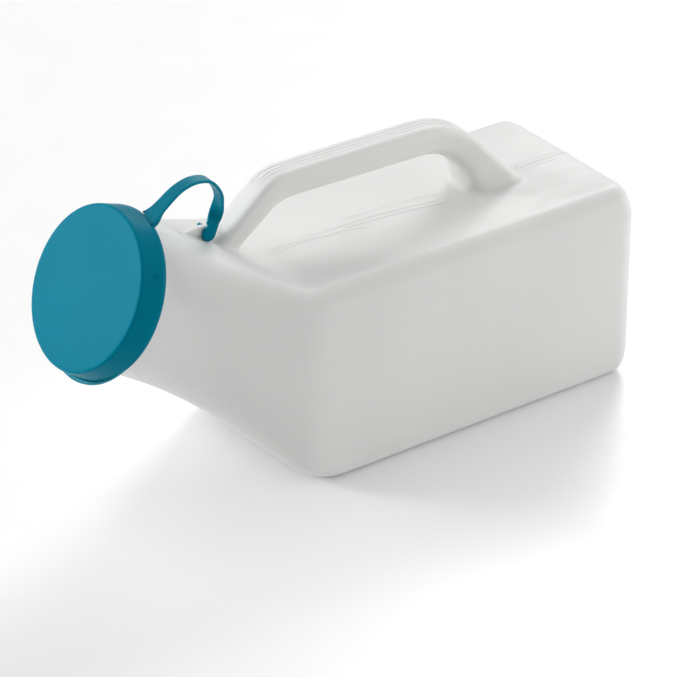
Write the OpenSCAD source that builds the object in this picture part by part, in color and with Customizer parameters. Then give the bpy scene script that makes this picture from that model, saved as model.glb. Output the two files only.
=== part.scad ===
// Male urine bottle with a tethered snap-on lid, lying on one long side.
// Millimetres, +Z up. The mouth points towards -X and rises; the base end is at +X.
// The origin is the centre of the whole object's footprint, on the surface it lies on.
// The bottle is one blown moulding (body, shoulder, neck rim, handle and lug), and the
// lid is one injection moulding (cap, thumb tab, strap and peg).

/* [Body] */
// Length of the straight part, from the base end to the shoulder
body_l = 157; // [154:1:162]
// Width across Y
body_w = 84; // [82:1:88]
// Height as it lies
body_h = 84; // [82:1:86]
// Radius of the two long edges at the top
top_edge_r = 8; // [4:0.5:10]
// Radius of the two long edges at the bottom
edge_r = 5; // [3:0.5:8]
// Radius round the edge of the base end
base_r = 10; // [6:0.5:14]
// Thickness of the blown wall
wall = 1.2; // [0.8:0.1:1.6]

/* [Neck] */
// Distance from the base end to the centre of the mouth
mouth_d = 232.4; // [230:0.2:235]
// Height of the centre of the mouth
mouth_z = 93.4; // [91:0.2:96]
// Angle by which the neck points up
neck_tilt = 28; // [25:0.5:31]
// Outside radius of the neck
neck_r = 29; // [28:0.1:29.4]
// Outside radius of the bead that the lid snaps over
bead_r = 30.2; // [29.8:0.1:30.3]

/* [Handle] */
// Height of the top of the grip
grip_top = 118.5; // [116:0.5:122]
// Height of the grip's section, which is flat on top and round below
grip_t = 12.5; // [11:0.5:15]
// Width of the grip across Y
grip_w = 13; // [11:0.5:16]
// Width of the rear foot across Y
foot_w = 21; // [13:0.5:22]
// Radius of the handle's long edges
grip_r = 3; // [2:0.5:4]

/* [Lid] */
// Radius of the lid's face
face_r = 32.2; // [32:0.1:32.6]
// Radius of the skirt at its open edge
skirt_r = 33.4; // [33.2:0.1:33.8]
// Depth of the lid from its face to its open edge
lid_h = 10.8; // [9.8:0.1:11.8]
// Thickness of the lid's face
face_t = 1.6; // [1.2:0.1:1.8]
// Thickness of the skirt
skirt_t = 1.3; // [1.1:0.1:1.4]
// Angle by which the lid is turned on the neck, from the top towards -Y
lid_turn = 10; // [0:1:12]
// How far the thumb tab stands out of the skirt
tab_out = 2.2; // [2:0.2:4]

/* [Tether] */
// Width of the strap at the lid
strap_w = 7; // [5:0.5:8]
// Width of the strap along its middle
strap_mid_w = 5.8; // [4:0.2:6]
// Width of the strap where it meets its end plate
strap_end_w = 5.4; // [5:0.2:5.8]
// Thickness of the strap
strap_t = 1.2; // [1:0.1:1.6]
// Radius of the hole in the lug
lug_hole_r = 1.3; // [1.2:0.05:1.4]
// Thickness of the lug
lug_t = 2.2; // [1.8:0.1:2.4]

/* [Hidden] */
$fn = 96;
milky = [0.93, 0.94, 0.93];
teal = [0.10, 0.52, 0.62];

// The frame
lip_gap = 0.2;                         // between the lip and the inside of the lid's face
face_a = lip_gap + face_t;             // the lid's face, outward from the mouth
face_edge_r = 1.2;
front_d = mouth_d + (face_a - face_edge_r) * cos(neck_tilt)
    + (face_r - face_edge_r) * sin(neck_tilt) + face_edge_r;
base_x = front_d / 2;

// The shoulder
rim_l = 11;                            // length of the neck rim, back from the mouth
top_flare = 2;                         // from the rim to the flare, along the top of the neck
bottom_flare = 31;                     // and along the bottom
top_bend = 5;                          // length of the bend into the body, at the top
bottom_bend = 13;                      // and at the bottom
body_split = body_l - bottom_bend - 4; // where the body and the shoulder meet

// Points round a section: quarters of a corner arc and a straight side
quarter_n = 12;
arc_n = 6;
section_n = 4 * quarter_n;

function lerp(a, b, u) = a + (b - a) * u;
function unit(v) = v / norm(v);

// The corner b of the path a-b-c, rounded by an arc that starts and ends a distance cut
// from it: weight is what makes the curve from start to end, drawn to b, a true arc
function bend(a, b, c, cut, steps) =
    let (
        start = b + cut * unit(a - b),
        end = b + cut * unit(c - b),
        weight = sqrt((1 - unit(a - b) * unit(c - b)) / 2))
    [for (k = [0:steps])
        let (u = k / steps, s = pow(1 - u, 2), m = 2 * u * (1 - u) * weight, e = pow(u, 2))
        (s * start + m * b + e * end) / (s + m + e)];

// A point at a distance d from the base end
function at(d, y, z) = [base_x - d, y, z];

// A point at a distance a out of the mouth, y across, and up above the neck's axis
function on_neck(a, y, up) = at(
    mouth_d + a * cos(neck_tilt) - up * sin(neck_tilt), y,
    mouth_z + a * sin(neck_tilt) + up * cos(neck_tilt));

// Point i of a circle, with the points bunched as on the rectangle below
function round_point(i, r) = let (a = 360 * i / section_n + 22.5) r * [cos(a), sin(a)];

// Point i of a rectangle with round corners, given by its half sizes and its four radii;
// sides is how many steps each quarter has, and arcs how many of them go round the corner
function corner(q, a, half, r) = [
    (q % 4 == 0 || q % 4 == 3 ? 1 : -1) * (half[0] - r[q % 4]) + r[q % 4] * cos(a),
    (q % 4 < 2 ? 1 : -1) * (half[1] - r[q % 4]) + r[q % 4] * sin(a)];
function box_point(i, half, r, sides = quarter_n, arcs = arc_n) =
    let (q = floor(i / sides), k = i % sides)
    k <= arcs ? corner(q, 90 * (q + k / arcs), half, r)
    : lerp(corner(q, 90 * (q + 1), half, r), corner(q + 1, 90 * (q + 1), half, r),
           (k - arcs) / (sides - arcs));

// Point i of the body's section at d, drawn in by inset, with rounder corners by more
function body_point(i, d, inset, more = 0) =
    let (
        top = top_edge_r + more,
        bottom = edge_r + more,
        p = box_point(i, [body_w, body_h] / 2 - [inset, inset], [top, top, bottom, bottom]))
    at(d, p[0], body_h / 2 + p[1]);

function neck_point(i, a, inset) =
    let (p = round_point(i, neck_r - inset)) on_neck(a, p[0], p[1]);

// The line on the shoulder's skin that joins point i of the rim to point i of the body
function shoulder_line(i, inset) =
    let (
        front = body_point(i, body_l, inset),
        back = body_point(i, body_split, inset),
        height = (front[2] - inset) / (body_h - 2 * inset),
        straight = lerp(bottom_flare, top_flare, height),
        rim = neck_point(i, -rim_l, inset),
        flare = neck_point(i, -rim_l - straight, inset))
    concat(
        [rim],
        bend(rim, flare, front, straight - 0.5, 7),
        bend(flare, front, back, lerp(bottom_bend, top_bend, height), 6),
        [back]);

// Rings of points over the shoulder, from the rim to the body
function shoulder_rings(inset) =
    let (lines = [for (i = [0:section_n - 1]) shoulder_line(i, inset)])
    [for (k = [0:len(lines[0]) - 1]) [for (line = lines) line[k]]];

// Rings over the body, from the shoulder round the edge of the base end
function body_rings(inset) = concat(
    [[for (i = [0:section_n - 1]) body_point(i, body_split, inset)]],
    [for (a = [0:15:90])
        let (fall = (base_r - inset) * (1 - cos(a)))
        [for (i = [0:section_n - 1])
            body_point(i, inset + (base_r - inset) * (1 - sin(a)), inset + fall, fall * 0.8)]]);

function reversed(list) = [for (k = [len(list) - 1:-1:0]) list[k]];

// A solid whose skin runs through rings of points: a loop goes back to the first ring,
// and otherwise the first and last rings are filled in from their middles
function middle(ring) = [for (p = ring) 1] * ring / len(ring);
module skin(rings, loop = false) {
    m = len(rings);
    n = len(rings[0]);
    sides = [for (r = [0:m - (loop ? 1 : 2)]) for (i = [0:n - 1])
        let (
            a = r * n + i,
            b = r * n + (i + 1) % n,
            c = ((r + 1) % m) * n + (i + 1) % n,
            d = ((r + 1) % m) * n + i)
        each [[a, b, c], [a, c, d]]];
    ends = loop ? [] : [for (i = [0:n - 1]) each [
        [m * n, (i + 1) % n, i],
        [m * n + 1, (m - 1) * n + i, (m - 1) * n + (i + 1) % n]]];
    polyhedron(
        points = concat([for (ring = rings) each ring],
                        loop ? [] : [middle(rings[0]), middle(rings[m - 1])]),
        faces = concat(sides, ends));
}

module neck_frame() translate(at(mouth_d, 0, mouth_z)) rotate([0, neck_tilt - 90, 0]) children();

// +Z out of the mouth, and +X from the neck's axis to the strap's root
module lid_frame() neck_frame() rotate([0, 0, -lid_turn]) children();

// The straight body, open towards the shoulder
module bottle_body() color(milky)
    skin(concat(reversed(body_rings(0)), body_rings(wall)));

// The flare from the round neck to the square body
module bottle_shoulder() color(milky)
    skin(concat(reversed(shoulder_rings(0)), shoulder_rings(wall)), loop = true);

// The round mouth, with the bead that holds the lid
bead_w = 3;
lip_r = 0.6;
module neck_rim() color(milky) neck_frame() rotate_extrude()
    polygon([
        [neck_r - wall, -rim_l],
        [neck_r, -rim_l],
        [neck_r, -bead_w - 2 * (bead_r - neck_r)],
        [bead_r, -bead_w],
        [bead_r, -lip_r],
        [bead_r - lip_r, 0],
        [neck_r - wall + lip_r, 0],
        [neck_r - wall, -lip_r]]);

// The handle's side view: an outer line and an inner line, each from the front foot on
// the shoulder to the rear foot on the body, as [d, z]
flare_top = on_neck(-rim_l - top_flare, 0, neck_r);
shoulder_slope = (flare_top[2] - body_h) / (base_x - flare_top[0] - body_l);
sink = 0.7;                            // how deep the feet and the lug are rooted in the wall
function shoulder_top(d) = body_h + (d - body_l) * shoulder_slope;
front_foot_d = 179;                    // the front foot, from here
front_foot_end = 169.5;                // to here
grip_front_d = 153;
grip_back_d = 65.6;
back_foot_end = 61;                    // the rear foot, from here
back_foot_d = 35.6;                    // to here
outer_fall = 0.9;                      // how far the grip's top falls from its front to its rear
inner_fall = 1.6;                      // and how far its underside does
window_top = grip_top - grip_t;
outer_line = [
    [front_foot_d, shoulder_top(front_foot_d) - sink],
    [grip_front_d, grip_top],
    [grip_back_d, grip_top - outer_fall],
    [back_foot_d, body_h]];
inner_line = [
    [front_foot_end, shoulder_top(front_foot_end) - sink],
    [grip_front_d - 5, window_top],
    [back_foot_end + 0.5, window_top - inner_fall],
    [back_foot_end, body_h]];
front_bend = 6;
outer_back_bend = 17;
inner_back_bend = window_top - inner_fall - body_h - 1;
window_round = 0.9;                    // how round the side towards the window is, 1 is fully
grip_side_n = 5;                       // steps in each quarter of the handle's section

function handle_line(p, back_bend) = concat(
    [p[0]],
    bend(p[0], p[1], p[2], front_bend, 5),
    bend(p[1], p[2], p[3], back_bend, 8),
    [p[3]]);

// Rings along the handle, from one foot to the other
function handle_rings(inset) =
    let (
        outer = handle_line(outer_line, outer_back_bend),
        inner = handle_line(inner_line, inner_back_bend),
        last = len(outer) - 1)
    [for (k = [0:last])
        let (
            middle = (outer[k] + inner[k]) / 2,
            across = outer[k] - inner[k],
            rise = min((middle[1] - body_h) / (grip_top - grip_t / 2 - inner_fall - body_h), 1),
            width = k > last / 2 ? lerp(foot_w, grip_w, rise) : grip_w,
            half = [width, norm(across)] / 2 - [inset, inset],
            r_out = grip_r - inset / 2,
            r_in = min(half) * window_round)
        [for (i = [0:4 * grip_side_n - 1])
            let (
                p = box_point(i, half, [r_out, r_out, r_in, r_in], grip_side_n, grip_side_n - 1),
                q = middle + p[1] * unit(across))
            at(q[0], p[0], q[1])]];

module handle() color(milky)
    skin(concat(reversed(handle_rings(0)), handle_rings(wall)), loop = true);

// The fin on the shoulder that the strap is pegged to, drawn round the peg's hole
peg_d = 180.3;
peg_z = shoulder_top(peg_d) + 3.9;
lug_front_d = 192.2;
lug_back_d = 179.6;
function lug_foot(d) = [peg_d - d, shoulder_top(d) - sink - peg_z];
module tether_lug() color(milky)
    translate(at(peg_d, 0, peg_z)) rotate([90, 0, 0])
    difference() {
        linear_extrude(lug_t, center = true) polygon([
            lug_foot(lug_front_d),
            [-7.7, 2.9],
            [-4, 3.4],
            [0, 2.9],
            [2.4, 1.4],
            [2.6, 0],
            lug_foot(lug_back_d)]);
        cylinder(r = lug_hole_r, h = lug_t + 2, center = true);
    }

// The lid's round part: a flat face and a skirt that widens to its open edge
edge_a = face_a - lid_h;
band = 2;                              // straight part at the skirt's open edge
module lid_cap() color(teal) lid_frame() union() {
    rotate_extrude() polygon([
        [0, lip_gap],
        [face_r - skirt_t - 0.4, lip_gap],
        [skirt_r - skirt_t, edge_a],
        [skirt_r, edge_a],
        [skirt_r, edge_a + band],
        [face_r, face_a - face_edge_r],
        for (a = [15:15:90]) [
            face_r - face_edge_r + face_edge_r * cos(a),
            face_a - face_edge_r + face_edge_r * sin(a)],
        [0, face_a]]);
    strap_root();
}

// The root of the strap on the skirt's open edge, as [outward, along the lid's axis]
root_mid = [skirt_r - 0.1, edge_a - 0.3];
root_way = [cos(30), -sin(30)];
root_half = 0.8;
root_l = 2;
root_in = skirt_r - skirt_t + 0.4;
module strap_root() rotate([90, 0, 0])
    linear_extrude(strap_w + 1, center = true) polygon([
        [root_in, edge_a],
        root_mid + root_half * [root_way[1], -root_way[0]],
        root_mid - root_half * [root_way[1], -root_way[0]],
        [skirt_r + 0.2, edge_a + root_l],
        [root_in, edge_a + root_l]]);

// The crescent under the lid's edge that the thumb lifts, opposite the strap
tab_t = 1.5;
tab_shift = 4;
module thumb_tab() color(teal) lid_frame() translate([0, 0, edge_a]) difference() {
    translate([-tab_shift, 0, 0]) cylinder(r = skirt_r + tab_out - tab_shift, h = tab_t);
    translate([0, 0, -1]) cylinder(r = skirt_r, h = tab_t + 2);
}

// The plate at the strap's end: its place across, the middle of its top edge, and its way
plate_y = -2.2;
plate_top = at(178.6, plate_y, peg_z + 3.9);
plate_l = norm(at(peg_d, plate_y, peg_z) - plate_top);
plate_way = unit(at(peg_d, plate_y, peg_z) - plate_top);

// A point on the lid: outward towards the strap, across, and along the lid's axis
function on_lid(out, across, a) = on_neck(a,
    across * cos(lid_turn) - out * sin(lid_turn),
    across * sin(lid_turn) + out * cos(lid_turn));

// The strap's middle line, from its root on the lid over to the plate at the lug
straight_end = 1.5;
function from_root(s) = on_lid(root_mid[0] + s * root_way[0], 0, root_mid[1] + s * root_way[1]);
strap_route = concat(
    [from_root(0), from_root(straight_end)],
    [for (p = [
        [203, -5.8, 122.1],
        [196, -5.4, 126.2],
        [189, -4.9, 127.5],
        [182.5, -4.4, 125.9],
        [178.5, -3.9, 121.8],
        [176.4, -3.4, 117.2],
        [176.3, -2.8, 112.8]]) at(p[0], p[1], p[2])],
    [plate_top - 2 * straight_end * plate_way, plate_top]);

// The curve through points p, at u from point k to the next
function spline(p, k, u) =
    let (a = p[max(k - 1, 0)], b = p[k], c = p[k + 1], e = p[min(k + 2, len(p) - 1)])
    b + (c - a) * u / 2 + (a - 2.5 * b + 2 * c - e / 2) * pow(u, 2)
    + (1.5 * (b - c) + (e - a) / 2) * pow(u, 3);

// The strap's cross sections: flat across Y at the lid, and turned a quarter at the lug
strap_steps = 3;
twist_start = 0.74;
function smooth(u) = let (v = min(max(u, 0), 1)) v * v * (3 - 2 * v);
function strap_width(u) = u < 0.3 ? lerp(strap_w, strap_mid_w, smooth(u / 0.3))
    : lerp(strap_mid_w, strap_end_w, smooth((u - 0.7) / 0.3));
function strap_rings(route) =
    let (
        last = len(route) - 1,
        line = concat(
            [for (k = [0:last - 1]) for (s = [0:strap_steps - 1]) spline(route, k, s / strap_steps)],
            [route[last]]))
    [for (k = [0:len(line) - 1])
        let (
            way = k == 0 ? unit(route[1] - route[0])
                : k == len(line) - 1 ? plate_way
                : unit(line[k + 1] - line[k - 1]),
            side = unit([0, 1, 0] - way[1] * way),
            up = cross(way, side),
            u = k / (len(line) - 1),
            twist = 90 * smooth((u - twist_start) / (1 - twist_start)),
            across = side * cos(twist) - up * sin(twist),
            half = [strap_width(u), strap_t] / 2)
        [for (i = [0:7])
            let (p = box_point(i, half, [0.3, 0.3, 0.3, 0.3], 2, 1))
            line[k] + p[0] * across + p[1] * cross(way, across)]];

module tether_strap() color(teal) skin(reversed(strap_rings(strap_route)));

// The plate that lies on the near side of the lug, and the peg pressed through its hole,
// with y along the plate towards the strap
plate_t = 1.6;
plate_r = 3;
notch_half = 1.9;                      // half the width left between the notches
peg_r = lug_hole_r - 0.05;
head_r = lug_hole_r + 0.5;
head_y = lug_t / 2 - plate_y + 0.1;    // from the plate's middle to the peg's head
head_l = 3.4;
module tether_peg() color(teal) {
    translate(at(peg_d, plate_y, peg_z))
    rotate([90, 0, 0])
    rotate([0, 0, atan2(plate_way[0], -plate_way[2])])
    linear_extrude(plate_t, center = true) union() {
        polygon([
            [-strap_end_w / 2, plate_l],
            [-strap_end_w / 2, plate_l - 0.6],
            [-notch_half, plate_l - 1.6],
            [-plate_r + 0.3, 1],
            [plate_r - 0.3, 1],
            [notch_half, plate_l - 1.6],
            [strap_end_w / 2, plate_l - 0.6],
            [strap_end_w / 2, plate_l]]);
        circle(r = plate_r);
    }
    translate(at(peg_d, plate_y, peg_z)) rotate([-90, 0, 0]) rotate_extrude() polygon([
        [0, 0],
        [peg_r, 0],
        [peg_r, head_y],
        [head_r, head_y],
        [head_r, head_y + head_l * 0.7],
        [head_r * 0.6, head_y + head_l],
        [0, head_y + head_l]]);
}

bottle_body();
bottle_shoulder();
neck_rim();
handle();
tether_lug();
lid_cap();
thumb_tab();
tether_strap();
tether_peg();
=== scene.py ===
"""A male urine bottle lying on its side: one milky blow-moulded bottle, and one teal moulding
that is the lid, its strap and the peg that holds the strap on the bottle.

Shapes are worked out in millimetres and turned into metres when a mesh is made. A distance d
is measured from the base end towards the mouth, and a along the neck's axis, out of the mouth.
"""

import math

import bmesh
import bpy
import numpy as np
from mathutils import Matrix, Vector
from mathutils.bvhtree import BVHTree


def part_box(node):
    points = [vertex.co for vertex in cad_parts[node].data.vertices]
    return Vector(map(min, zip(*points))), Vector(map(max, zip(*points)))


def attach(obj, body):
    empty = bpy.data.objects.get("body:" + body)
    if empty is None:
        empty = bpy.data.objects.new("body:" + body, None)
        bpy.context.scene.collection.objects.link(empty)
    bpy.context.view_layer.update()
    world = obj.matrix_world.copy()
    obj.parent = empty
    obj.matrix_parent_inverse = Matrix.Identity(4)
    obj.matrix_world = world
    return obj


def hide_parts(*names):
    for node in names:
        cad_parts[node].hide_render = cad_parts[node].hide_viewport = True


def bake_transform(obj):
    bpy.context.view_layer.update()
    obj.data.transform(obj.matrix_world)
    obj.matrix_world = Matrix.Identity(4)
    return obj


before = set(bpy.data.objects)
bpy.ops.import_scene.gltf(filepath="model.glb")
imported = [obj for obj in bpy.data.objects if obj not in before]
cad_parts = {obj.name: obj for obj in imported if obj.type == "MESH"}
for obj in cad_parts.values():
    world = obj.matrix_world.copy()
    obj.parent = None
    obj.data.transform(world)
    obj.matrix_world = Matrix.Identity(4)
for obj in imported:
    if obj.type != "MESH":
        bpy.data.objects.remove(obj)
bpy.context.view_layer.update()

MM = 0.001
BODY = [np.array(corner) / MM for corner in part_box("bottle_body")]
BASE_X = BODY[1][0]
BODY_W = BODY[1][1] - BODY[0][1]
BODY_H = BODY[1][2]

# The body and the shoulder
BODY_L = 157
TOP_EDGE_R = 8
EDGE_R = 5
BASE_R = 10
WALL = 1.2
TOP_FLARE = 2
BOTTOM_FLARE = 31
TOP_BEND = 5
BOTTOM_BEND = 13
BODY_SPLIT = BODY_L - BOTTOM_BEND - 4

# The neck; it is cut off at CUT_A, and carried on from there with its bead and its lip
MOUTH_D = 232.4
MOUTH_Z = 93.4
TILT = math.radians(28)
NECK_R = 29
BEAD_R = 30.2
BEAD_W = 3
LIP_R = 0.6
RIM_L = 11
CUT_A = 1 - RIM_L

# The handle, whose grip is GRIP_H high; SINK is how deep it and the lug are rooted
FRONT_FOOT = (169.5, 179)
GRIP_FRONT = 153
GRIP_BACK = 65.6
BACK_FOOT = (35.6, 61)
GRIP_TOP = 118.5
GRIP_H = 12.5
GRIP_W = 13
FOOT_W = 21
GRIP_R = 3
WINDOW_ROUND = 0.9
OUTER_FALL = 0.9
INNER_FALL = 1.6
SINK = 0.7

# The lid, with EDGE_A the open edge of its skirt
FACE_R = 32.2
FACE_A = 1.8
FACE_EDGE_R = 1.2
SKIRT_R = 33.4
SKIRT_T = 1.3
SKIRT_L = 10.8
LIP_GAP = 0.2
EDGE_A = FACE_A - SKIRT_L
LID_TURN = math.radians(10)

# The strap, its end plate and the lug it is pegged to. PEG_UP is the peg's height over the
# shoulder, and PLATE_TOP the middle of the plate's top edge: its d and its height over the peg.
STRAP_T = 1.2
ROOT_W = 6.8
ARCH_W = 5.8
END_W = 5.4
TWIST_START = 0.74
PEG_D = 180.3
PEG_UP = 3.9
LUG_T = 2.2
LUG_FRONT = 192.2
LUG_BACK = 179.6
PEG_R = 1.25
PLATE_T = 1.6
PLATE_Y = -2.2
PLATE_TOP = (178.6, 3.9)


# Directions and points

UP = np.array([0, 0, 1])
BACK = np.array([1, 0, 0])
BESIDE = np.array([0, 1, 0])


def at(d, y, z):
    return np.array([BASE_X - d, y, z])


def on_neck(a, y, up):
    return at(
        MOUTH_D + a * math.cos(TILT) - up * math.sin(TILT), y,
        MOUTH_Z + a * math.sin(TILT) + up * math.cos(TILT),
    )


def on_lid(out, across, a):
    """A point on the lid: outward towards the strap, across, and along the lid's axis."""
    c, s = math.cos(LID_TURN), math.sin(LID_TURN)
    return on_neck(a, across * c - out * s, across * s + out * c)


def unit(v):
    v = np.asarray(v, float)
    return v / np.linalg.norm(v)


def lerp(a, b, u):
    return a + (b - a) * u


def smooth(u):
    u = min(max(u, 0), 1)
    return u * u * (3 - 2 * u)


def part_circle(centre, r, start, end, steps):
    """Points of the circle of radius r round centre, from one angle to another in degrees."""
    return [
        (centre[0] + r * math.cos(t), centre[1] + r * math.sin(t))
        for t in np.radians(np.linspace(start, end, steps + 1))
    ]


def arc(a, b, c, cut, steps):
    """The corner b of the path a-b-c, rounded by a true arc that starts a distance cut from it."""
    a, b, c = (np.asarray(p, float) for p in (a, b, c))
    start, end = b + cut * unit(a - b), b + cut * unit(c - b)
    weight = math.sqrt((1 - unit(a - b) @ unit(c - b)) / 2)
    points = []
    for u in np.linspace(0, 1, steps + 1):
        s, m, e = (1 - u) ** 2, 2 * u * (1 - u) * weight, u**2
        points.append((s * start + m * b + e * end) / (s + m + e))
    return points


def spline(points, steps):
    """A smooth curve through points."""
    p = [np.asarray(q, float) for q in points]
    curve = []
    for k in range(len(p) - 1):
        a, b, c, e = p[max(k - 1, 0)], p[k], p[k + 1], p[min(k + 2, len(p) - 1)]
        for u in np.arange(steps) / steps:
            curve.append(
                b + (c - a) * u / 2 + (a - 2.5 * b + 2 * c - e / 2) * u**2
                + (1.5 * (b - c) + (e - a) / 2) * u**3
            )
    return curve + [p[-1]]


def line_between(a, b, steps=24):
    return [lerp(np.asarray(a, float), np.asarray(b, float), u) for u in np.linspace(0, 1, steps)]


def way_at(path, k):
    """The way along the path at its point k."""
    return unit(path[min(k + 1, len(path) - 1)] - path[max(k - 1, 0)])


def round_box(u, half, radii):
    """A point on a rectangle with round corners: u runs from 0 to 4, a quarter for each 1."""
    def corner(q, angle):
        x_sign = 1 if q % 4 in (0, 3) else -1
        y_sign = 1 if q % 4 < 2 else -1
        r = radii[q % 4]
        return np.array([
            x_sign * (half[0] - r) + r * math.cos(angle),
            y_sign * (half[1] - r) + r * math.sin(angle),
        ])

    q, k = int(u), 2 * (u - int(u))
    if k <= 1:
        return corner(q, math.pi / 2 * (q + k))
    end = math.pi / 2 * (q + 1)
    return lerp(corner(q, end), corner(q + 1, end), k - 1)


# Meshes

def new_object(name, points, faces):
    mesh = bpy.data.meshes.new(name)
    mesh.from_pydata([tuple(np.asarray(p) * MM) for p in points], [], faces)
    mesh.validate()
    obj = bpy.data.objects.new(name, mesh)
    bpy.context.scene.collection.objects.link(obj)
    return obj


def loft(rings, loop=False, fill=True):
    """Points and faces of a skin through rings of points, with its two ends filled in."""
    m, n = len(rings), len(rings[0])
    points = [p for ring in rings for p in ring]
    faces = [
        (r * n + i, r * n + (i + 1) % n, (r + 1) % m * n + (i + 1) % n, (r + 1) % m * n + i)
        for r in range(m if loop else m - 1)
        for i in range(n)
    ]
    if fill and not loop:
        points += [np.mean(rings[0], axis=0), np.mean(rings[-1], axis=0)]
        faces += [(m * n, (i + 1) % n, i) for i in range(n)]
        faces += [(m * n + 1, (m - 1) * n + i, (m - 1) * n + (i + 1) % n) for i in range(n)]
    return points, faces


def edit(obj, change=None):
    """Runs change(bm) on the mesh, then turns its faces outward and shades it smooth."""
    bm = bmesh.new()
    bm.from_mesh(obj.data)
    if change:
        change(bm)
    bmesh.ops.remove_doubles(bm, verts=bm.verts, dist=0.002 * MM)
    bmesh.ops.recalc_face_normals(bm, faces=bm.faces)
    bm.to_mesh(obj.data)
    bm.free()
    obj.data.shade_smooth()
    return obj


def apply_modifiers(obj):
    depsgraph = bpy.context.evaluated_depsgraph_get()
    mesh = bpy.data.meshes.new_from_object(obj.evaluated_get(depsgraph))
    obj.modifiers.clear()
    obj.data = mesh
    return obj


def smooth_mesh(obj, rounds, group=""):
    modifier = obj.modifiers.new("smooth", "SMOOTH")
    modifier.factor = 0.5
    modifier.iterations = rounds
    modifier.vertex_group = group


def lathe(name, profile, place, steps=144):
    """A closed profile of (radius, along) turned round an axis: place(x, y, along) is a point."""
    rings = [
        [place(r * math.cos(t), r * math.sin(t), a) for r, a in profile]
        for t in np.linspace(0, 2 * math.pi, steps, endpoint=False)
    ]
    return edit(new_object(name, *loft(rings, loop=True)))


def slab(name, outline, thick, place, edge):
    """A flat piece with an outline of (x, y), with its edges rounded."""
    half = thick / 2
    rings = [[place(x, y, side) for x, y in outline] for side in (-half, half)]
    n = len(outline)
    points = rings[0] + rings[1]
    faces = [tuple(range(n - 1, -1, -1)), tuple(range(n, 2 * n))]
    faces += [(i, (i + 1) % n, n + (i + 1) % n, n + i) for i in range(n)]

    def round_edges(bm):
        sharp = [e for e in bm.edges if e.calc_face_angle(0) > math.radians(35)]
        bmesh.ops.bevel(bm, geom=sharp, offset=edge * MM, segments=3, affect="EDGES", profile=0.5)

    return edit(new_object(name, points, faces), round_edges)


# The bottle's skin

def edge_radii(more=0):
    """The radii of the body's long edges, in the order of round_box."""
    top, bottom = TOP_EDGE_R + more, EDGE_R + more
    return [top, top, bottom, bottom]


def neck_angle(u):
    """The angle round the neck that belongs to u round the body's section."""
    return math.pi / 2 * u + math.pi / 8


def body_place(angle):
    """The place u round the body's section that belongs to an angle round the neck."""
    return (angle - math.pi / 8) / (math.pi / 2) % 4


def shoulder_line(u, inset):
    """The line on the shoulder that joins the neck to the body, at u round the section."""
    half = [BODY_W / 2 - inset, BODY_H / 2 - inset]
    y, z = round_box(u, half, edge_radii())
    front, back = at(BODY_L, y, BODY_H / 2 + z), at(BODY_SPLIT, y, BODY_H / 2 + z)
    height = (front[2] - inset) / (BODY_H - 2 * inset)
    straight = lerp(BOTTOM_FLARE, TOP_FLARE, height)
    angle = neck_angle(u)
    ny, nz = (NECK_R - inset) * math.cos(angle), (NECK_R - inset) * math.sin(angle)
    rim, flare = on_neck(-RIM_L, ny, nz), on_neck(-RIM_L - straight, ny, nz)
    behind_rim = 0.5
    return [
        rim,
        *arc(rim, flare, front, straight - behind_rim, 14),
        *arc(flare, front, back, lerp(BOTTOM_BEND, TOP_BEND, height), 10),
        back,
    ]


def base_curve(u, inset):
    """The line that goes on from the shoulder, round the edge of the base end.

    The body's long edges get rounder on the way round it.
    """
    rounder = 0.8
    line = []
    r = BASE_R - inset
    for angle in np.linspace(0, math.pi / 2, 13):
        fall = r * (1 - math.cos(angle))
        half = [BODY_W / 2 - inset - fall, BODY_H / 2 - inset - fall]
        y, z = round_box(u, half, edge_radii(fall * rounder))
        line.append(at(inset + r * (1 - math.sin(angle)), y, BODY_H / 2 + z))
    return line


def side_line(u, inset):
    """The line from the neck's rim to the base end, at u round the section, inset into the wall."""
    return shoulder_line(u, inset) + base_curve(u, inset)


def bottle_solid():
    """The bottle from its mouth to its base end, without the handle."""
    steps = np.linspace(0, 4, 240, endpoint=False)
    lines = []
    for u in steps:
        angle = neck_angle(u)
        tip = on_neck(0, NECK_R * math.cos(angle), NECK_R * math.sin(angle))
        lines.append([tip] + side_line(u, 0))
    return loft([list(ring) for ring in zip(*lines)])


def shoulder_top(d):
    """The height of the top of the shoulder, which runs straight from the flare to the body."""
    flare = on_neck(-RIM_L - TOP_FLARE, 0, NECK_R)
    return BODY_H + (d - BODY_L) * (flare[2] - BODY_H) / (BASE_X - flare[0] - BODY_L)


PEG_Z = shoulder_top(PEG_D) + PEG_UP


# The handle's side view: its outer and inner lines from the front foot to the rear foot

def handle_line(path, back_bend):
    """A path with its two corners rounded, carried on into the body at both feet."""
    start, front, back, end = (np.array(p, float) for p in path)
    rooted = 4
    front_bend = 6
    return [
        start + rooted * unit(start - front),
        *arc(start, front, back, front_bend, 10),
        *arc(front, back, end, back_bend, 24),
        end,
        end + rooted * np.array([0, -1]),
    ]


def outer_line():
    """The handle's outer side, which falls a little towards the rear."""
    foot = FRONT_FOOT[1]
    path = [
        (foot, shoulder_top(foot) - SINK),
        (GRIP_FRONT, GRIP_TOP),
        (GRIP_BACK, GRIP_TOP - OUTER_FALL),
        (BACK_FOOT[0], BODY_H),
    ]
    return handle_line(path, back_bend=17)


def inner_line():
    """The window's outline, whose front corner lies behind the grip's and whose rear leg leans."""
    behind, lean = 5, 0.5
    foot = FRONT_FOOT[0]
    front_z = GRIP_TOP - GRIP_H
    back_z = front_z - INNER_FALL
    path = [
        (foot, shoulder_top(foot) - SINK),
        (GRIP_FRONT - behind, front_z),
        (BACK_FOOT[1] + lean, back_z),
        (BACK_FOOT[1], BODY_H),
    ]
    return handle_line(path, back_bend=back_z - BODY_H - 1)


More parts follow.
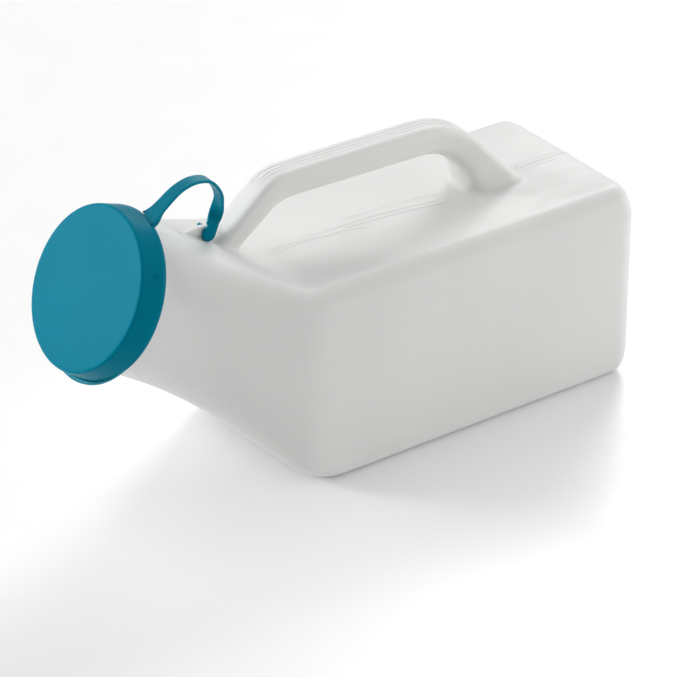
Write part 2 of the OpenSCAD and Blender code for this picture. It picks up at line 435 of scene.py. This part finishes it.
def handle_solid():
    """A rounded box section carried along the handle, whose rear leg widens to its foot."""
    rings = []
    grip_middle = GRIP_TOP - GRIP_H / 2 - INNER_FALL
    for outer, inner in zip(outer_line(), inner_line()):
        middle, across = (outer + inner) / 2, outer - inner
        rise = min(max((middle[1] - BODY_H) / (grip_middle - BODY_H), 0), 1)
        is_front = middle[0] > (GRIP_FRONT + GRIP_BACK) / 2
        width = GRIP_W if is_front else lerp(FOOT_W, GRIP_W, rise)
        half = [width / 2, np.linalg.norm(across) / 2]
        inner_r = min(half) * WINDOW_ROUND
        ring = []
        for u in np.linspace(0, 4, 64, endpoint=False):
            y, along = round_box(u, half, [GRIP_R, GRIP_R, inner_r, inner_r])
            d, z = middle + along * unit(across)
            ring.append(at(d, y, z))
        rings.append(ring)
    return loft(rings)


def soften_joints(obj, solids, reach, rounds):
    """Smooths the mesh where the surfaces of both solids are near, which makes a fillet there."""
    trees = [BVHTree.FromPolygons([tuple(p) for p in pts], faces) for pts, faces in solids]
    group = obj.vertex_groups.new(name="joint")
    floor = (BODY_H - 2 * reach) * MM
    for v in obj.data.vertices:
        if v.co.z < floor or abs(v.co.y) > FOOT_W * MM:
            continue
        far = max(tree.find_nearest(v.co / MM)[3] for tree in trees)
        if far < reach:
            group.add([v.index], smooth(1 - far / reach), "REPLACE")
    smooth_mesh(obj, rounds, group.name)


def mouth_profile():
    """The neck from the cut to the bead, over the lip and in to the wall, as (a, radius)."""
    inside = NECK_R - WALL
    return [
        (CUT_A, NECK_R),
        (-BEAD_W - 2 * (BEAD_R - NECK_R), NECK_R),
        (-BEAD_W, BEAD_R),
        *part_circle((-LIP_R, BEAD_R - LIP_R), LIP_R, 90, 0, 3),
        *part_circle((-LIP_R, inside + LIP_R), LIP_R, 0, -90, 3),
    ]


def mouth_rings(around):
    """Rings from the cut over the lip and down the inside, with points at the angles around."""
    outside = [
        [on_neck(a, r * math.cos(t), r * math.sin(t)) for t in around]
        for a, r in mouth_profile()
    ]
    inside = [side_line(body_place(t), WALL) for t in around]
    return outside + [list(ring) for ring in zip(*inside)]


def add_mouth(bm):
    """Cuts the skin across the neck, and carries it on over the lip and down the inside."""
    mouth, cut = on_neck(0, 0, 0), on_neck(CUT_A, 0, 0) * MM
    axis, up = unit(on_neck(1, 0, 0) - mouth), unit(on_neck(0, 0, 1) - mouth)
    bmesh.ops.bisect_plane(
        bm, geom=[*bm.verts, *bm.edges, *bm.faces], dist=0.0001 * MM,
        plane_co=cut, plane_no=axis, clear_outer=True,
    )
    edge = [v for v in bm.verts if v.is_boundary]
    angles = {}
    for v in edge:
        out = np.array(v.co) - cut
        angles[v] = math.atan2(out @ up, out @ BESIDE)
    edge.sort(key=angles.get)
    rings = mouth_rings([angles[v] for v in edge])

    for v, p in zip(edge, rings[0]):
        v.co = p * MM
    n = len(edge)
    for ring in rings[1:]:
        row = [bm.verts.new(p * MM) for p in ring]
        for i in range(n):
            bm.faces.new((edge[i], edge[(i + 1) % n], row[(i + 1) % n], row[i]))
        edge = row
    middle = bm.verts.new(np.mean(rings[-1], axis=0) * MM)
    for i in range(n):
        bm.faces.new((edge[i], edge[(i + 1) % n], middle))


def make_bottle():
    """The whole bottle in one skin, with the handle's feet flowing into it."""
    solids = [bottle_solid(), handle_solid()]
    (points, faces), (more_points, more_faces) = solids
    faces = faces + [tuple(i + len(points) for i in face) for face in more_faces]
    obj = new_object("bottle_skin", points + more_points, faces)
    remesh = obj.modifiers.new("remesh", "REMESH")
    remesh.mode = "VOXEL"
    remesh.voxel_size = 0.9 * MM
    apply_modifiers(obj)
    soften_joints(obj, solids, reach=6, rounds=30)
    smooth_mesh(obj, 6)
    apply_modifiers(obj)
    return edit(obj, add_mouth)


def ridge(name, path, outward, width, height):
    """A soft moulding line along path, standing out of the surface and fading at both ends."""
    rooted, sunk, fade_share = 0.2, 0.03, 1 / 12
    across = np.linspace(-width / 2, width / 2, 9)
    rings = []
    for k, p in enumerate(path):
        way = way_at(path, k)
        out = unit(outward[k] - (outward[k] @ way) * way)
        side = np.cross(way, out)
        fade = smooth(min(k, len(path) - 1 - k) / len(path) / fade_share)
        section = [(x, fade * height * math.cos(math.pi * x / width) ** 2) for x in across]
        section += [(width / 2, -rooted), (-width / 2, -rooted)]
        rings.append([p + side * x + out * (y - sunk * (1 - fade)) for x, y in section])
    return edit(new_object(name, *loft(rings)))


def top_lines():
    """The faint lines along the top, each a height and a route of (d, y)."""
    routes = [
        (0.1, [(155, 0.6), (117, 1), (99, 0.2), (70, -4.2)]),
        (0.1, [(156, -2.4), (129, -0.8), (94, -3.2), (70, -7.6)]),
        (0.06, [(116, 5.5), (98, 4.5), (83, 3.2), (70, -0.2)]),
        (0.06, [(131, -2.2), (119, -2.8), (109, -6)]),
        (0.1, [(34, -2.4), (26, -2.2), (13, -2)]),
    ]
    lines = []
    for k, (height, route) in enumerate(routes):
        path = spline([at(d, y, BODY_H) for d, y in route], 12)
        lines.append(ridge(f"top_line_{k + 1}", path, [UP] * len(path), 1.8, height))
    return lines


def base_line():
    """The line from behind the handle, over the top edge and down the middle of the base end."""
    start, y = 34, 0.8
    path = line_between(at(start, y, BODY_H), at(BASE_R, y, BODY_H), 6)
    out = [UP] * len(path)
    centre = at(BASE_R, y, BODY_H - BASE_R)
    for angle in np.linspace(0, math.pi / 2, 13)[1:]:
        out.append(math.sin(angle) * BACK + math.cos(angle) * UP)
        path.append(centre + BASE_R * out[-1])
    down = line_between(path[-1], at(0, y, BASE_R), 12)[1:]
    return ridge("base_line", path + down, out + [BACK] * len(down), 2.2, 0.16)


def grip_lines():
    """The lines along the grip, which face more outward the further they are from its middle."""
    half_way_out = 60
    lines = []
    for k, y in enumerate([-1.6, 0.4, 2.6]):
        path = [at(d, y, z) for d, z in outer_line()[1:-2]]
        centre = path[len(path) // 2]
        out = [UP + (p[0] - centre[0]) / half_way_out * BACK for p in path]
        lines.append(ridge(f"grip_line_{k + 1}", path, out, 1.4, 0.07))
    return lines


def make_lug():
    """The fin that the strap is pegged to, and the swelling that it grows out of."""
    front, back = shoulder_top(LUG_FRONT) - SINK, shoulder_top(LUG_BACK) - SINK
    rooted = 1.5
    round_the_peg = [(7.7, 2.9), (4, 3.4), (0, 2.9), (-2.4, 1.4), (-2.6, 0)]
    outline = [
        (LUG_FRONT, front - rooted),
        (LUG_FRONT, front),
        *[(PEG_D + x, PEG_Z + z) for x, z in round_the_peg],
        (LUG_BACK, back),
        (LUG_BACK, back - rooted),
    ]
    lug = slab("lug", outline, LUG_T, lambda d, z, y: at(d, y, z), 0.5)
    foot = line_between(at(LUG_FRONT, 0, front + SINK), at(LUG_BACK, 0, back + SINK))
    swelling = ridge("lug_foot", foot, [UP] * len(foot), 6, 1.1)
    return lug, swelling


# The lid, its strap and the peg

def make_lid():
    """The cup, turned from a profile that runs over its inside and back over its outside."""
    top_in, skirt_in = 30.4, SKIRT_R - SKIRT_T
    bevel, edge_r, band, dish = 0.3, 0.35, 1.9, 0.08
    inside = [
        (0, LIP_GAP), (15, LIP_GAP), (top_in - 2 * bevel, LIP_GAP), (top_in, LIP_GAP - bevel),
        (skirt_in, EDGE_A + bevel), (skirt_in + bevel, EDGE_A),
    ]
    outside = [
        *part_circle((SKIRT_R - edge_r, EDGE_A + edge_r), edge_r, -90, 0, 2),
        (SKIRT_R, EDGE_A + band), (SKIRT_R - 0.1, EDGE_A + band + 0.4),
        *part_circle((FACE_R - FACE_EDGE_R, FACE_A - FACE_EDGE_R), FACE_EDGE_R, 0, 90, 6),
    ]
    face = [(29, FACE_A), (20, FACE_A - 0.05), (10, FACE_A - dish), (0, FACE_A - dish)]
    return lathe("lid_shell", inside + outside + face, on_lid)


def make_tab():
    """The crescent under the lid's edge, widest opposite the strap."""
    shift, proud, thick, edge_r = 4, 2.2, 1.5, 0.35
    reach = 61
    circle = SKIRT_R + proud - shift
    inner, low, high = SKIRT_R - 0.3, EDGE_A, EDGE_A + thick
    rings = []
    for t in np.radians(np.linspace(180 - reach, 180 + reach, 60)):
        outer = -shift * math.cos(t) + math.sqrt(circle**2 - (shift * math.sin(t)) ** 2)
        r = min(edge_r, (outer - inner) / 2)
        section = [
            (inner, low),
            *part_circle((outer - r, low + r), r, -90, 0, 2),
            *part_circle((outer - r, high - r), r, 0, 90, 2),
            (inner, high),
        ]
        rings.append([on_lid(q * math.cos(t), q * math.sin(t), a) for q, a in section])
    return edit(new_object("lid_tab", *loft(rings)))


def gate_mark():
    """The disc on the lid's face where the plastic entered the mould."""
    out, across, r = -12.3, 8.3, 0.5
    profile = [(0, FACE_A - 0.3), (r, FACE_A - 0.3), (r - 0.05, FACE_A + 0.02), (0, FACE_A + 0.04)]
    return lathe("lid_gate_mark", profile, lambda x, y, a: on_lid(x + out, y + across, a), 16)


def skirt_mark():
    """The small ring that an ejector pin has left on the skirt."""
    turned, skirt_r, up = math.radians(-47), 32.86, -4.7
    out = np.array([math.cos(turned), math.sin(turned)])
    along = np.array([-out[1], out[0]])

    def on_skirt(x, y, proud):
        q = (skirt_r + proud) * out + x * along
        return on_lid(q[0], q[1], up + y)

    r, height = 0.9, 0.4
    profile = [(0, -0.3), (r, -0.3), (r, 0.25), (r - 0.2, height), (r - 0.4, 0.1), (0, 0)]
    return lathe("lid_skirt_mark", profile, on_skirt, 20)


def plate_frame():
    """The middle of the plate's top edge, and the plate's way on from there to the peg."""
    d, above_peg = PLATE_TOP
    top = at(d, PLATE_Y, PEG_Z + above_peg)
    return top, at(PEG_D, PLATE_Y, PEG_Z) - top


def strap_route():
    """The strap's middle line, from its root on the lid over to the plate at the lug."""
    root = np.array([SKIRT_R - 0.1, EDGE_A - 0.3])
    away = np.array([math.cos(math.pi / 6), -math.sin(math.pi / 6)])
    start = [on_lid(q[0], 0, q[1]) for q in (root - 0.5 * away, root + away)]
    over = [(203, -5.8, 122.1), (196, -5.4, 126.2), (189, -4.9, 127.5), (182.5, -4.4, 125.9),
            (178.5, -3.9, 121.8), (176.4, -3.4, 117.2), (176.3, -2.8, 112.8)]
    top, plate_way = plate_frame()
    straight_end = 3
    return start + [at(*p) for p in over] + [top - straight_end * unit(plate_way), top]


def strap_width(s, length):
    """The strap's width at s mm from its root, which flares out onto the lid's skirt."""
    flare, flare_l = 2.6, 7
    arch_start, arch_end = 0.35, 0.7
    u = s / length
    if u < arch_start:
        width = lerp(ROOT_W, ARCH_W, smooth(u / arch_start))
        return width + flare * (1 - smooth(s / flare_l))
    return lerp(ARCH_W, END_W, smooth((u - arch_end) / (1 - arch_end)))


def strap_section(width, thick):
    """A flat section with round edges, and fine ribs on both faces that end before the edges."""
    edge_r, rib, rib_pitch = 0.35, 0.05, 1.1
    half = [width / 2, thick / 2]
    section = []
    for u in np.linspace(0, 4, 72, endpoint=False):
        x, y = round_box(u, half, [edge_r] * 4)
        height = rib * math.cos(2 * math.pi * x / rib_pitch) * (abs(y) / half[1]) ** 8
        section.append((x, y + math.copysign(height, y)))
    return section


def make_strap():
    """The strap: flat across the lid at its root, turned a quarter where it meets the plate."""
    root_swell, swell_l = 1, 5
    line = spline(strap_route(), 12)
    steps = [np.linalg.norm(b - a) for a, b in zip(line, line[1:])]
    length = sum(steps)
    rings = []
    for k, p in enumerate(line):
        way = way_at(line, k)
        side = unit(BESIDE - way[1] * way)
        up = np.cross(way, side)
        twist = math.pi / 2 * smooth((k / (len(line) - 1) - TWIST_START) / (1 - TWIST_START))
        across = side * math.cos(twist) - up * math.sin(twist)
        normal = np.cross(way, across)
        s = sum(steps[:k])
        thick = STRAP_T + root_swell * (1 - smooth(s / swell_l))
        section = strap_section(strap_width(s, length), thick)
        rings.append([p + x * across + y * normal for x, y in section])
    return edit(new_object("strap", *loft(rings)))


def make_plate():
    """The plate at the strap's end, whose far end is round, with a small snag on its edge."""
    top, way = plate_frame()
    length, way = np.linalg.norm(way), unit(way)
    side = np.cross(-BESIDE, way)
    centre = at(PEG_D, PLATE_Y, PEG_Z)
    end, notch = END_W / 2, 1.6
    snag = [(-2.5, 1), (-2.9, 1.5), (-2.4, 2), (-1.7, 2.2)]
    outline = [
        (end, length),
        (end, 0.6),
        *part_circle((-0.15, -0.1), 2.92, -16, -190, 6),
        *snag,
        (-notch, length - 1.3),
        (0.1 - end, length - 0.5),
        (-end, length),
    ]

    def place(x, y, out):
        return centre + x * side - y * way + out * BESIDE

    return slab("peg_plate", outline, PLATE_T, place, 0.25)


def make_peg():
    """The peg pressed through the plate and the lug, with a barbed head and a long tip."""
    centre = at(PEG_D, PLATE_Y, PEG_Z)
    head_y = LUG_T / 2 - PLATE_Y + 0.1
    head_r, tip_r, rise = PEG_R + 0.35, 0.9, 0.13
    profile = [
        (0, 0), (PEG_R, 0), (PEG_R, head_y),
        (head_r - 0.2, head_y), (head_r, head_y + 0.2), (head_r, head_y + 0.8),
        (tip_r + 0.05, head_y + 2.6), (tip_r, head_y + 3.4), (tip_r - 0.3, head_y + 3.8),
        (0, head_y + 3.9),
    ]
    return lathe("peg", profile, lambda x, y, a: centre + np.array([x, a, y + rise * a]), 40)


# Materials

def node_material(name):
    """A new material with its nodes, its links and its shader."""
    material = bpy.data.materials.new(name)
    material.use_nodes = True
    nodes = material.node_tree.nodes
    return material, nodes, material.node_tree.links, nodes["Principled BSDF"]


def noise(nodes, links, scale, detail, stretch=(1, 1, 1)):
    """Noise in the object's own coordinates, in metres."""
    coords = nodes.new("ShaderNodeTexCoord")
    mapping = nodes.new("ShaderNodeMapping")
    mapping.inputs["Scale"].default_value = stretch
    texture = nodes.new("ShaderNodeTexNoise")
    texture.inputs["Scale"].default_value = scale
    texture.inputs["Detail"].default_value = detail
    links.new(coords.outputs["Object"], mapping.inputs["Vector"])
    links.new(mapping.outputs["Vector"], texture.inputs["Vector"])
    return texture.outputs["Fac"]


def ranged(nodes, links, value, low, high):
    """Spreads the middle of a noise over the range from low to high."""
    ramp = nodes.new("ShaderNodeMapRange")
    ramp.inputs["From Min"].default_value = 0.3
    ramp.inputs["From Max"].default_value = 0.7
    ramp.inputs["To Min"].default_value = low
    ramp.inputs["To Max"].default_value = high
    links.new(value, ramp.inputs["Value"])
    return ramp.outputs["Result"]


def mixed(nodes, links, factor, first, second):
    """A colour that goes from the first to the second as the factor goes from 0 to 1."""
    mix = nodes.new("ShaderNodeMix")
    mix.data_type = "RGBA"
    mix.inputs["A"].default_value = (*first, 1)
    mix.inputs["B"].default_value = (*second, 1)
    links.new(factor, mix.inputs["Factor"])
    return mix.outputs["Result"]


def bumped(nodes, links, shader, layers):
    """Adds bump layers, each a height, its depth in metres and how strong it is."""
    normal = None
    for height, depth, strength in layers:
        bump = nodes.new("ShaderNodeBump")
        bump.inputs["Distance"].default_value = depth
        bump.inputs["Strength"].default_value = strength
        links.new(height, bump.inputs["Height"])
        if normal:
            links.new(normal, bump.inputs["Normal"])
        normal = bump.outputs["Normal"]
    links.new(normal, shader.inputs["Normal"])


def milky_material(name, glow):
    """Milky polyethylene, uneven from the blowing; glow lets light through the wall."""
    material, nodes, links, shader = node_material(name)
    uneven = noise(nodes, links, 14, 2, (1, 1, 0.6))
    cloudy = ranged(nodes, links, uneven, 0, 1)
    links.new(mixed(nodes, links, cloudy, (0.72, 0.725, 0.71), (0.77, 0.77, 0.755)),
              shader.inputs["Base Color"])
    grain = noise(nodes, links, 1400, 3)
    wipe = noise(nodes, links, 60, 5, (1, 3, 3))
    links.new(ranged(nodes, links, wipe, 0.36, 0.5), shader.inputs["Roughness"])
    shader.inputs["Specular IOR Level"].default_value = 0.3
    shader.inputs["Subsurface Weight"].default_value = glow
    shader.inputs["Subsurface Radius"].default_value = (1, 1, 0.95)
    shader.inputs["Subsurface Scale"].default_value = 0.002
    bumped(nodes, links, shader, [(uneven, 0.0006, 0.35), (grain, 0.00004, 0.35)])
    return material


def teal_material(name, sheen, glow):
    """Teal soft polyethylene with a fine grain and faint rubbing marks; glow lets light through."""
    material, nodes, links, shader = node_material(name)
    cloud = ranged(nodes, links, noise(nodes, links, 35, 3), 0, 1)
    links.new(mixed(nodes, links, cloud, (0, 0.162, 0.242), (0, 0.17, 0.252)),
              shader.inputs["Base Color"])
    rubbed = noise(nodes, links, 220, 6, (1, 1, 4))
    links.new(ranged(nodes, links, rubbed, 0.34, 0.46), shader.inputs["Roughness"])
    shader.inputs["Specular IOR Level"].default_value = sheen
    shader.inputs["Specular Tint"].default_value = (0.02, 0.95, 1, 1)
    shader.inputs["Subsurface Weight"].default_value = glow
    shader.inputs["Subsurface Radius"].default_value = (0.4, 0.9, 1)
    shader.inputs["Subsurface Scale"].default_value = 0.002
    grain = noise(nodes, links, 1800, 3)
    bumped(nodes, links, shader, [(cloud, 0.0002, 0.2), (grain, 0.00003, 0.3)])
    return material


def floor_material():
    """A smooth pale floor that shows a faint soft reflection."""
    material, nodes, links, shader = node_material("pale_floor")
    shader.inputs["Base Color"].default_value = (0.97, 0.97, 0.97, 1)
    speck = noise(nodes, links, 40, 4)
    links.new(ranged(nodes, links, speck, 0.3, 0.42), shader.inputs["Roughness"])
    return material


# The stage

def area_light(name, place, size, watts, target=(0, 0, 0), spread=180):
    """A round soft light, with the spread of its beam in degrees."""
    light = bpy.data.lights.new(name, "AREA")
    light.shape = "DISK"
    light.size = size
    light.energy = watts
    light.spread = math.radians(spread)
    obj = bpy.data.objects.new(name, light)
    obj.location = place
    obj.rotation_mode = "QUATERNION"
    obj.rotation_quaternion = (Vector(place) - Vector(target)).to_track_quat("Z", "Y")
    bpy.context.scene.collection.objects.link(obj)
    return obj


def make_stage():
    """A pale floor, an even white sky, four large lights and a small one on the lid's face."""
    half = 4 / MM
    corners = [(-half, -half, 0), (half, -half, 0), (half, half, 0), (-half, half, 0)]
    floor = new_object("floor", corners, [(0, 1, 2, 3)])
    floor.data.materials.append(floor_material())
    world = bpy.data.worlds.new("studio")
    world.use_nodes = True
    sky = world.node_tree.nodes["Background"]
    sky.inputs["Color"].default_value = (1, 1, 1, 1)
    sky.inputs["Strength"].default_value = 0.57
    bpy.context.scene.world = world
    lid = Vector(on_lid(0, 0, 0) * MM)
    lid_light = lid + 0.7 * Vector((-0.7, 0.65, 0.3)).normalized()
    lights = [
        area_light("back", (1.9, 1.6, 1.75), 1.1, 24),
        area_light("top", (-0.9, 0.8, 2.0), 1.6, 9),
        area_light("left", (-1.3, 1.2, 0.55), 0.9, 9),
        area_light("right", (0.85, -0.45, 0.18), 0.5, 3.2),
        area_light("lid_light", lid_light, 0.2, 0.06, lid, 24),
    ]


def make_camera():
    """The camera at the height and angle of the photograph, with a long lens."""
    azimuth, elevation = math.radians(-35.462), math.radians(30.006)
    back = Vector((
        math.sin(azimuth) * math.cos(elevation),
        -math.cos(azimuth) * math.cos(elevation),
        math.sin(elevation),
    ))
    data = bpy.data.cameras.new("camera")
    data.sensor_width = 36
    data.lens = 185.9
    data.clip_start = 0.1
    data.clip_end = 20
    camera = bpy.data.objects.new("camera", data)
    target, distance = Vector((0.0055, 0, 0.0341)), 1.3826
    camera.location = target + distance * back
    camera.rotation_mode = "QUATERNION"
    camera.rotation_quaternion = back.to_track_quat("Z", "Y")
    bpy.context.scene.collection.objects.link(camera)
    bpy.context.scene.camera = camera


# Putting it together

def dress(obj, material):
    obj.data.materials.clear()
    obj.data.materials.append(material)


milky = milky_material("milky_plastic", 0.8)
milky_line = milky_material("milky_line_plastic", 0)
teal = teal_material("teal_plastic", 0.05, 0.3)
thin_teal = teal_material("thin_teal_plastic", 0.3, 1)

skin = make_bottle()
lug, lug_foot = make_lug()
lines = [lug_foot, *top_lines(), base_line(), *grip_lines()]
for obj in [skin, lug, *lines]:
    dress(obj, milky_line if obj in lines else milky)
    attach(obj, "bottle")
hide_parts("bottle_body", "bottle_shoulder", "neck_rim", "handle")
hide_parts("tether_lug")

shell, tab = make_lid(), make_tab()
for obj in [shell, tab, gate_mark(), skirt_mark()]:
    dress(obj, thin_teal if obj is tab else teal)
    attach(obj, "lid")
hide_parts("lid_cap")
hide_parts("thumb_tab")

plate, peg = make_plate(), make_peg()
for obj in [plate, peg]:
    dress(obj, teal)
    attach(obj, "bottle")
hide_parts("tether_peg")

strap = make_strap()
dress(strap, thin_teal)
root, bent = strap_route()[0], strap_route()[2]
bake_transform(strap)
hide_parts("tether_strap")

make_stage()
make_camera()
bpy.context.scene.view_settings.view_transform = "Standard"
